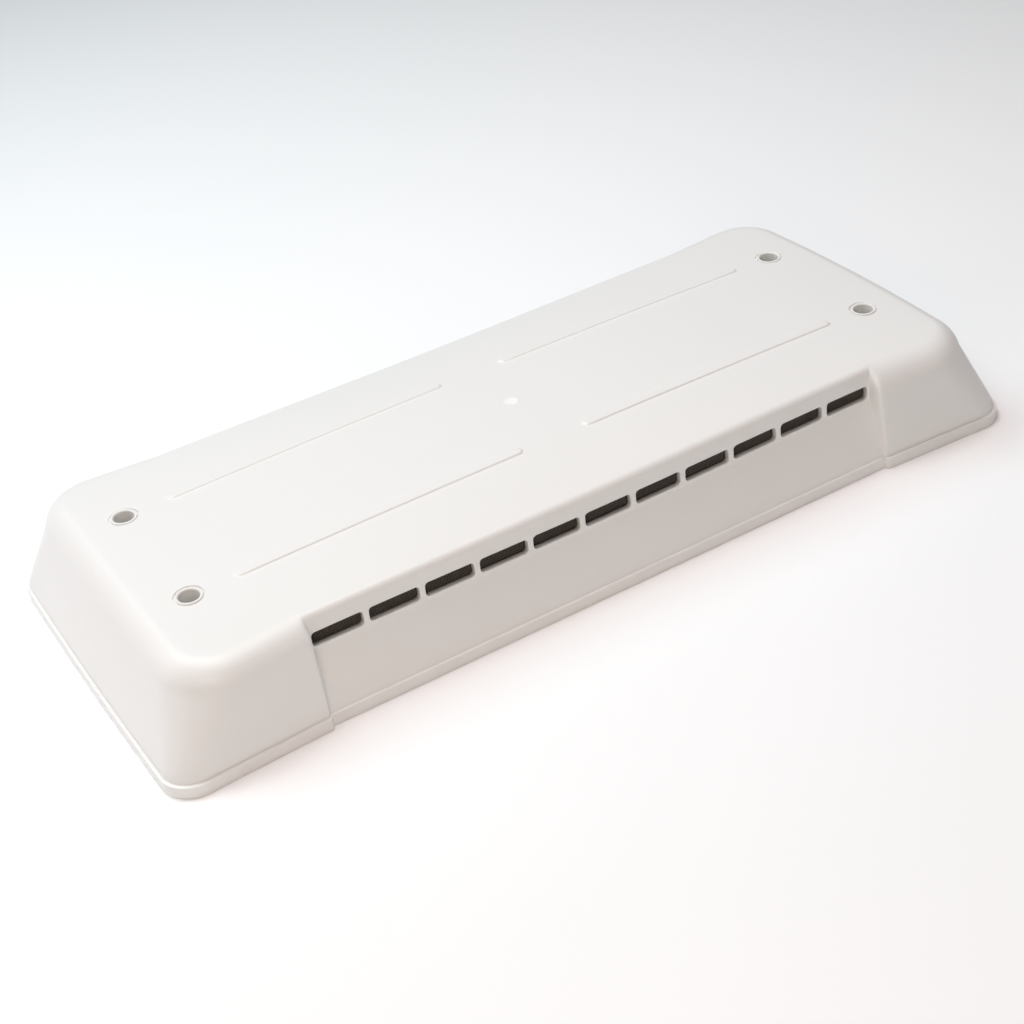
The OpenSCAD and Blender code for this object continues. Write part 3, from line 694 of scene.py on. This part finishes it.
def makeSlot(skin, side, x):  # one slot's rounded lip and its way through the wall
    lip, wall = slots["lip"], cap["wall"]
    loops = [(lip + slots["guard"], 0)]
    loops += [(lip * (1 - math.sin(g)), lip * (1 - math.cos(g))) for g in np.linspace(0, math.pi / 2, 6)]
    back, width = wall + slots["land"], slots["landWidth"]  # a narrow land carries the screen behind the wall
    loops += [(0, back - 0.15), (0.15, back), (width - 0.15, back), (width, back - 0.15), (width, wall + 0.2),
              (width + 0.2, wall)]
    rows = []
    for grow, depth in loops:
        row = []
        for s, z in roundRect(slots["length"], slots["height"], slots["radius"], grow):
            y = cap["recessWidth"] / 2 - bandInset(z) - depth
            row.append((x - side * s, side * y, z + float(slotRow(x - side * s))))
        rows.append(skin.add(row))
    for outside, inside in zip(rows, rows[1:]):
        skin.strip(inside, outside, flip=True)
    return rows[0], rows[-1]


def weld(mesh, distance):
    clean = bmesh.new()
    clean.from_mesh(mesh)
    bmesh.ops.remove_doubles(clean, verts=clean.verts, dist=distance)
    clean.to_mesh(mesh)
    clean.free()


def newPiece(name, points, faces, finish, sharp=40, scale=mm):
    mesh = bpy.data.meshes.new(name)
    mesh.from_pydata([tuple(v * scale for v in p) for p in points], [], faces)
    weld(mesh, 5e-6)
    piece = bpy.data.objects.new(name, mesh)
    bpy.context.collection.objects.link(piece)
    return finishPiece(piece, finish, sharp)


def finishPiece(piece, finish, sharp=40):
    mesh = piece.data
    mesh.materials.clear()
    mesh.materials.append(finishes[finish])
    mesh.shade_smooth()
    mesh.set_sharp_from_angle(angle=math.radians(sharp))
    return piece


def handOver(piece, body, finish, *nodes):
    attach(piece, body)
    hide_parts(*nodes)


capSkin = makeCapSkin()
capShell = newPiece("capShell", capSkin.points, capSkin.faces, "cap_plastic", 50)
handOver(capShell, "cap", "cap_plastic", "cap_shell")
print("cap shell made:", len(capSkin.faces), "faces")


def softProfile(corners, steps=3):  # a closed outline of radius and height, corners rounded by a third value
    outline = []
    for i, (r, z, rounding) in enumerate(corners):
        here = Vector((r, z))
        before, after = Vector(corners[i - 1][:2]), Vector(corners[(i + 1) % len(corners)][:2])
        if not rounding:
            outline.append((r, z))
            continue
        start = here + (before - here).normalized() * rounding
        end = here + (after - here).normalized() * rounding
        for k in range(steps + 1):
            u = k / steps
            outline.append(tuple(start * (1 - u) ** 2 + here * 2 * u * (1 - u) + end * u ** 2))
    return outline


def turnedPiece(name, outline, spot, finish, segments=56, knurl=None):
    skin, rings = Skin(), []
    for r, z in outline:
        ring = []
        for i in range(segments):
            g = 2 * math.pi * i / segments
            radius = r - knurl(r, i) if knurl else r
            ring.append((spot[0] + radius * math.cos(g), spot[1] + radius * math.sin(g), z))
        rings.append(skin.add(ring))
    for lower, upper in zip(rings, rings[1:] + rings[:1]):
        skin.strip(lower, upper)
    return newPiece(name, skin.points, skin.faces, finish, 42)


well = {"ringRadius": 9.7, "ringRound": 0.45, "grooveFloor": 0.4, "boreRadius": 7.3, "boreChamfer": 0.75,
        "tubeRadius": 9.4, "webHole": 2.75, "web": 6}
washer = {"bore": 2.1, "boreRound": 0.2, "rimRound": 0.4}
insert = {"knurlDepth": 0.28, "bandFoot": 1.2, "band": 4.0, "rounding": 0.3, "bore": 2.15,
          "waistDepth": 0.5, "waist": 0.8, "slope": 0.3}


def makeScrewWell(place):
    low, high = (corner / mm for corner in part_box("screw_well_" + place))
    spot, seat = (low + high) / 2, capWells["seatZ"]
    flange = high.x - spot.x
    floor = seat + well["grooveFloor"]
    outline = softProfile([
        (well["webHole"], low.z, 0.3), (well["tubeRadius"], low.z, 0.5), (well["tubeRadius"], seat, 0),
        (flange, seat, 0), (flange, floor, 0.15), (well["ringRadius"], floor, 0.15),
        (well["ringRadius"], high.z, well["ringRound"]),
        (well["boreRadius"] + well["boreChamfer"], high.z, 0.25),
        (well["boreRadius"], high.z - well["boreChamfer"], 0.25),
        (well["boreRadius"], low.z + well["web"], 0.6), (well["webHole"], low.z + well["web"], 0.3)], 4)
    piece = turnedPiece("screwWell." + place, outline, spot, "well_plastic")
    handOver(piece, "cap", "well_plastic", "screw_well_" + place)


def makeWasher(place):
    low, high = (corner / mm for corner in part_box("sealing_washer_" + place))
    radius, bore, rounding = (high.x - low.x) / 2, washer["bore"], washer["rimRound"]
    outline = softProfile([(bore, low.z, washer["boreRound"]), (radius, low.z, rounding),
                           (radius, high.z, rounding), (bore, high.z, washer["boreRound"])])
    piece = turnedPiece("sealingWasher." + place, outline, (low + high) / 2, "washer_rubber", 40)
    handOver(piece, "screw_" + place, "washer_rubber", "sealing_washer_" + place)


def makeInsert(place):  # two knurled bands with a waist between them
    low, high = (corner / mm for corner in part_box("thread_insert_" + place))
    radius, foot = (high.x - low.x) / 2, insert["bandFoot"]
    bore, rounding = insert["bore"], insert["rounding"]
    half = [(bore, 0, 0.2), (radius - rounding, 0, rounding), (radius - rounding, foot, 0),
            (radius, foot + insert["slope"], 0), (radius, foot + insert["band"], 0),
            (radius - insert["waistDepth"], (high.z - low.z - insert["waist"]) / 2, 0)]
    outline = softProfile([(r, low.z + z, soft) for r, z, soft in half]
                          + [(r, high.z - z, soft) for r, z, soft in half[::-1]])

    def knurl(r, i):
        return insert["knurlDepth"] * (i % 2) if r > radius - 0.01 else 0
    piece = turnedPiece("threadInsert." + place, outline, (low + high) / 2, "insert_brass", 48, knurl)
    handOver(piece, "base", "insert_brass", "thread_insert_" + place)


places = [end + "_" + side for end in ("front", "rear") for side in ("left", "right")]
for place in places:
    makeScrewWell(place)
    makeWasher(place)
    makeInsert(place)
print("screw wells, washers and inserts turned")


def growPiece(name, tree, sizes, finish, spots=((0, 0, 0),)):
    seed = bpy.data.meshes.new(name + "Spots")
    seed.from_pydata([tuple(spot) for spot in spots], [], [])
    piece = bpy.data.objects.new(name, seed)
    bpy.context.collection.objects.link(piece)
    modifier = piece.modifiers.new("form", "NODES")
    modifier.node_group = tree
    sockets = {item.name: item.identifier for item in tree.interface.items_tree if item.in_out == "INPUT"}
    for label, value in {**sizes, "Finish": finishes[finish]}.items():
        modifier[sockets[label]] = value
    bpy.context.view_layer.update()
    grown = piece.evaluated_get(bpy.context.evaluated_depsgraph_get())
    mesh = bpy.data.meshes.new_from_object(grown)
    piece.modifiers.remove(modifier)
    piece.data = mesh
    bpy.data.meshes.remove(seed)
    weld(mesh, 1e-7)
    return finishPiece(piece, finish)


def vectorOf(tree, x, y, z):
    return shade(tree, "CombineXYZ", {0: x, 1: y, 2: z})


def joined(tree, *parts):
    both = addNode(tree, "GeometryNodeJoinGeometry")
    for part in parts:
        tree.links.new(part, both.inputs[0])
    return both.outputs[0]


def endTree(tree, given, result, points, grown):  # sets the grown shape on every point
    placed = addNode(tree, "GeometryNodeInstanceOnPoints", {"Points": points, "Instance": grown})
    if "Turn" in given:
        turn = addNode(tree, "FunctionNodeEulerToRotation", {0: given["Turn"]})
        tree.links.new(turn.outputs[0], placed.inputs["Rotation"])
    real = form(tree, "RealizeInstances", {0: placed.outputs[0]})
    painted = form(tree, "SetMaterial", {"Geometry": real, "Material": given["Finish"]})
    tree.links.new(painted, result["Geometry"])


def makeScrewHead(tree, given):  # a dome on a short wall, with a cross cut into its top
    headR, headH, width = given["Head Radius"], given["Head Height"], given["Drive Width"]
    line = form(tree, "CurvePrimitiveLine", {"End": (0, 0, 1)})
    line = form(tree, "ResampleCurve", {"Curve": line, "Count": 12})
    turn = calc(tree, "MULTIPLY", form(tree, "SplineParameter", output="Factor"), math.radians(84))
    height = calc(tree, "MULTIPLY", calc(tree, "POWER", calc(tree, "SINE", turn), 0.9), headH)
    radius = calc(tree, "MULTIPLY", calc(tree, "POWER", calc(tree, "COSINE", turn), 0.38), headR)
    line = form(tree, "SetPosition", {"Geometry": line, "Position": vectorOf(tree, 0.0, 0.0, height)})
    ring = form(tree, "CurvePrimitiveCircle", {"Resolution": 28, "Radius": 1.0})
    turned = {"Curve": line, "Profile Curve": ring, "Scale": radius, "Fill Caps": True}
    head = form(tree, "CurveToMesh", turned)
    reach, deep = calc(tree, "MULTIPLY", headR, 1.14), calc(tree, "MULTIPLY", headH, 1.1)
    cut = addNode(tree, "GeometryNodeMeshBoolean", operation="DIFFERENCE", solver="EXACT")
    tree.links.new(head, cut.inputs["Mesh 1"])
    for size in (vectorOf(tree, reach, width, deep), vectorOf(tree, width, reach, deep)):
        arm = form(tree, "MeshCube", {"Size": size})
        arm = form(tree, "Transform", {"Geometry": arm, "Translation": vectorOf(tree, 0.0, 0.0, headH)})
        tree.links.new(arm, cut.inputs["Mesh 2"])
    return cut.outputs[0]


shankSink = 0.0004  # how far the shank runs up into the head


def makeScrewShank(tree, given):  # a rolled sheet whose ridge climbs one pitch for each turn
    length, pitch = given["Shank Length"], given["Pitch"]
    turns = calc(tree, "DIVIDE", length, pitch)
    rows = calc(tree, "ADD", calc(tree, "CEIL", calc(tree, "MULTIPLY", turns, 6.0)), 3.0)
    sheet = {"Size X": 1.0, "Size Y": 1.0, "Vertices X": given["Sides"], "Vertices Y": rows}
    grid = form(tree, "MeshGrid", sheet)
    place = addNode(tree, "ShaderNodeSeparateXYZ", {0: form(tree, "InputPosition")}).outputs
    around, down = calc(tree, "ADD", place["X"], 0.5), calc(tree, "ADD", place["Y"], 0.5)
    depth = calc(tree, "MULTIPLY", down, length)
    climb = calc(tree, "SUBTRACT", calc(tree, "DIVIDE", depth, pitch), around)
    phase = calc(tree, "FRACT", calc(tree, "ADD", climb, 4.0))
    crest = calc(tree, "ABSOLUTE", calc(tree, "MULTIPLY_ADD", phase, 2.0, -1.0))
    left = calc(tree, "DIVIDE", calc(tree, "SUBTRACT", length, depth), pitch)
    tip = calc(tree, "MULTIPLY_ADD", calc(tree, "MINIMUM", left, 1.0), 0.35, 0.65)
    start, end = calc(tree, "GREATER_THAN", down, 0.0001), calc(tree, "LESS_THAN", down, 0.9999)
    radius = calc(tree, "MULTIPLY", calc(tree, "MULTIPLY_ADD", crest, 0.2, 0.8), given["Shank Radius"])
    radius = calc(tree, "MULTIPLY", calc(tree, "MULTIPLY", radius, tip), calc(tree, "MULTIPLY", start, end))
    angle = calc(tree, "MULTIPLY", around, 2 * math.pi)
    moved = vectorOf(tree, calc(tree, "MULTIPLY", calc(tree, "COSINE", angle), radius),
                     calc(tree, "MULTIPLY", calc(tree, "SINE", angle), radius),
                     calc(tree, "MULTIPLY_ADD", depth, -1.0, shankSink))
    shank = form(tree, "SetPosition", {"Geometry": grid, "Position": moved})
    shank = form(tree, "MergeByDistance", {"Geometry": shank, "Distance": 1e-7})
    return form(tree, "FlipFaces", {0: shank})


def makeScrewTree():  # cross-recessed pan head over a helical thread, on every spot
    tree, given, result = newGroup(
        "panScrew", "GeometryNodeTree",
        {"Spots": "Geometry", "Head Radius": 0.0046, "Head Height": 0.0034, "Shank Radius": 0.0021,
         "Shank Length": 0.03, "Pitch": 0.0016, "Sides": 20, "Drive Width": 0.0013, "Turn": (0, 0, 0),
         "Finish": "Material"}, {"Geometry": "Geometry"})
    screw = joined(tree, makeScrewHead(tree, given), makeScrewShank(tree, given))
    endTree(tree, given, result, given["Spots"], screw)
    return tree


def makeWovenTree():  # fine wires that pass over and under each other, in the XZ plane
    tree, given, result = newGroup(
        "wovenScreen", "GeometryNodeTree",
        {"Corner": "Geometry", "Pitch": 0.0016, "Wire Radius": 0.0002, "Along": 280, "Up": 13,
         "Finish": "Material"}, {"Geometry": "Geometry"})
    pitch, wire = given["Pitch"], given["Wire Radius"]
    profile = form(tree, "CurvePrimitiveCircle", {"Resolution": 4, "Radius": wire})
    sideways, upwards = vectorOf(tree, pitch, 0.0, 0.0), vectorOf(tree, 0.0, 0.0, pitch)

    def wires(count, crossings, step, side, first):
        kinds = addNode(tree, "GeometryNodeJoinGeometry")
        for phase in (first, first + 1.0):
            line = form(tree, "MeshLine", {"Count": crossings, "Offset": step})
            wave = calc(tree, "MODULO", calc(tree, "ADD", form(tree, "InputIndex"), phase), 2.0)
            lift = calc(tree, "MULTIPLY", calc(tree, "MULTIPLY_ADD", wave, 2.0, -1.0), wire)
            line = form(tree, "SetPosition", {"Geometry": line, "Offset": vectorOf(tree, 0.0, lift, 0.0)})
            line = form(tree, "MeshToCurve", {0: line})
            strand = form(tree, "CurveToMesh", {"Curve": line, "Profile Curve": profile, "Fill Caps": True})
            tree.links.new(form(tree, "GeometryToInstance", {0: strand}), kinds.inputs[0])
        row = form(tree, "MeshLine", {"Count": count, "Offset": side})
        kind = calc(tree, "MODULO", form(tree, "InputIndex"), 2.0)
        return form(tree, "InstanceOnPoints", {"Points": row, "Instance": kinds.outputs[0],
                                               "Pick Instance": True, "Instance Index": kind})

    cloth = joined(tree, wires(given["Along"], given["Up"], upwards, sideways, 0.0),
                   wires(given["Up"], given["Along"], sideways, upwards, 1.0))
    endTree(tree, given, result, given["Corner"], cloth)
    return tree


def makeWeldedTree():  # straight wires in two layers, sunk a little into each other where they are welded
    tree, given, result = newGroup(
        "weldedScreen", "GeometryNodeTree",
        {"Corner": "Geometry", "Pitch": 0.0127, "Wire Radius": 0.00055, "Length": 0.5, "Width": 0.14,
         "Along": 41, "Across": 11, "Weld": 0.0002, "Finish": "Material"}, {"Geometry": "Geometry"})
    pitch, wire, quarter = given["Pitch"], given["Wire Radius"], math.pi / 2
    layers = []
    for count, depth, turned, high in ((given["Across"], given["Length"], (0, quarter, 0), 0.0),
                                       (given["Along"], given["Width"], (quarter, 0, 0), 1.0)):
        rod = form(tree, "MeshCylinder", {"Vertices": 10, "Radius": wire, "Depth": depth})
        rod = form(tree, "Transform", {"Geometry": rod, "Rotation": turned})
        first = calc(tree, "MULTIPLY", calc(tree, "MULTIPLY_ADD", count, -0.5, 0.5), pitch)
        step = calc(tree, "SUBTRACT", calc(tree, "MULTIPLY", wire, 2.0), given["Weld"])
        lift = calc(tree, "ADD", wire, calc(tree, "MULTIPLY", step, high))
        start = vectorOf(tree, first, 0.0, lift) if high else vectorOf(tree, 0.0, first, lift)
        offset = vectorOf(tree, pitch, 0.0, 0.0) if high else vectorOf(tree, 0.0, pitch, 0.0)
        row = form(tree, "MeshLine", {"Count": count, "Start Location": start, "Offset": offset})
        layers.append(form(tree, "InstanceOnPoints", {"Points": row, "Instance": rod}))
    endTree(tree, given, result, given["Corner"], joined(tree, *layers))
    return tree


screwTree, wovenTree, weldedTree = makeScrewTree(), makeWovenTree(), makeWeldedTree()

capScrew = {"Head Height": 0.0034, "Head Radius": 0.0046, "Shank Radius": 0.0021,
            "Pitch": 0.0016, "Sides": 21, "Drive Width": 0.0012}
clampScrew = {"Head Height": 0.0022, "Head Radius": 0.0034, "Shank Radius": 0.0016,
              "Pitch": 0.0014, "Sides": 15, "Drive Width": 0.0009}
retainerScrew = {"Head Height": 0.0016, "Head Radius": 0.0022, "Shank Radius": 0.0011,
                 "Pitch": 0.001, "Sides": 13, "Drive Width": 0.0007}


def islands(name):  # the box of each loose piece of a CAD node
    merged = bmesh.new()
    merged.from_mesh(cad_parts[name].data)
    bmesh.ops.remove_doubles(merged, verts=merged.verts, dist=1e-6)
    left, boxes = set(merged.verts), []
    while left:
        group, front = set(), [left.pop()]
        while front:
            vert = front.pop()
            group.add(vert)
            for edge in vert.link_edges:
                other = edge.other_vert(vert)
                if other in left:
                    left.discard(other)
                    front.append(other)
        corners = np.array([vert.co for vert in group])
        boxes.append((Vector(corners.min(axis=0)), Vector(corners.max(axis=0))))
    merged.free()
    return boxes


def withShank(screw, total):
    return {**screw, "Shank Length": total - screw["Head Height"] + shankSink}


def uprightSpots(boxes, screw):
    return [((low.x + high.x) / 2, (low.y + high.y) / 2, high.z - screw["Head Height"])
            for low, high in boxes]


for place in places:
    low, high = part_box("cap_screw_" + place)
    sizes, spots = withShank(capScrew, high.z - low.z), uprightSpots([(low, high)], capScrew)
    piece = growPiece("capScrew." + place, screwTree, sizes, "stainless", spots)
    handOver(piece, "screw_" + place, "stainless", "cap_screw_" + place)

found = islands("clamp_screws")
sizes, spots = withShank(clampScrew, found[0][1].z - found[0][0].z), uprightSpots(found, clampScrew)
piece = growPiece("clampScrews", screwTree, sizes, "stainless", spots)
handOver(piece, "base", "stainless", "clamp_screws")

for side, inward in (("front", 1), ("rear", -1)):
    found = islands("retainer_screws_" + side)
    spots = [((low.x + high.x) / 2, (high.y if inward > 0 else low.y) - inward * retainerScrew["Head Height"],
              (low.z + high.z) / 2) for low, high in found]
    sizes = withShank(retainerScrew, found[0][1].y - found[0][0].y)
    sizes["Turn"] = (-inward * math.pi / 2, 0, 0)
    piece = growPiece("retainerScrews." + side, screwTree, sizes, "stainless", spots)
    handOver(piece, "cap", "stainless", "retainer_screws_" + side)
print("screws grown")

weave = {"Pitch": 0.00105, "Wire Radius": 0.00019}
for side in ("front", "rear"):
    low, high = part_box("slot_screen_" + side)
    along, up = (int((high[axis] - low[axis]) / weave["Pitch"]) + 1 for axis in (0, 2))
    corner = (-(along - 1) / 2 * weave["Pitch"], (low.y + high.y) / 2,
              (low.z + high.z) / 2 - (up - 1) / 2 * weave["Pitch"])
    sizes = {**weave, "Along": along, "Up": up}
    piece = growPiece("slotScreen." + side, wovenTree, sizes, "dark_mesh", [corner])
    handOver(piece, "cap", "dark_mesh", "slot_screen_" + side)

birdWires = {"Pitch": 0.0127, "Wire Radius": 0.00055, "Weld": 0.0002}
birdEdge = 0.007  # no wire runs nearer to the screen's edge than this
low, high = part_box("throat_screen")
along, across = (2 * int((half - birdEdge) / birdWires["Pitch"]) + 1 for half in (high.x, high.y))
sizes = {**birdWires, "Length": high.x - low.x, "Width": high.y - low.y, "Along": along, "Across": across}
piece = growPiece("throatScreen", weldedTree, sizes, "zinc_wire", [(0, 0, low.z)])
handOver(piece, "base", "zinc_wire", "throat_screen")
print("screens grown")


def softenedCopy(name, node, width, finish, body):
    merged = bmesh.new()
    merged.from_mesh(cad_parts[node].data)
    bmesh.ops.remove_doubles(merged, verts=merged.verts, dist=2e-6)
    bmesh.ops.dissolve_limit(merged, angle_limit=math.radians(0.6), verts=merged.verts, edges=merged.edges)
    mesh = bpy.data.meshes.new(name)
    merged.to_mesh(mesh)
    merged.free()
    piece = bpy.data.objects.new(name, mesh)
    bpy.context.collection.objects.link(piece)
    bevel = piece.modifiers.new("edges", "BEVEL")
    bevel.width, bevel.segments, bevel.limit_method, bevel.angle_limit = width, 2, "ANGLE", math.radians(50)
    bpy.context.view_layer.update()
    soft = bpy.data.meshes.new_from_object(piece.evaluated_get(bpy.context.evaluated_depsgraph_get()))
    piece.modifiers.remove(bevel)
    piece.data = soft
    handOver(finishPiece(piece, finish), body, finish, node)


softenedCopy("baseFrame", "base_frame", 0.0004, "base_plastic", "base")
softenedCopy("screenClampFrame", "screen_clamp_frame", 0.0005, "base_plastic", "base")
softenedCopy("roofGasket", "roof_gasket", 0.0005, "gasket_rubber", "base")
for side in ("front", "rear"):
    softenedCopy("screenRetainer." + side, "screen_retainer_" + side, 0.0003, "retainer_plastic", "cap")
print("moulded frames softened")
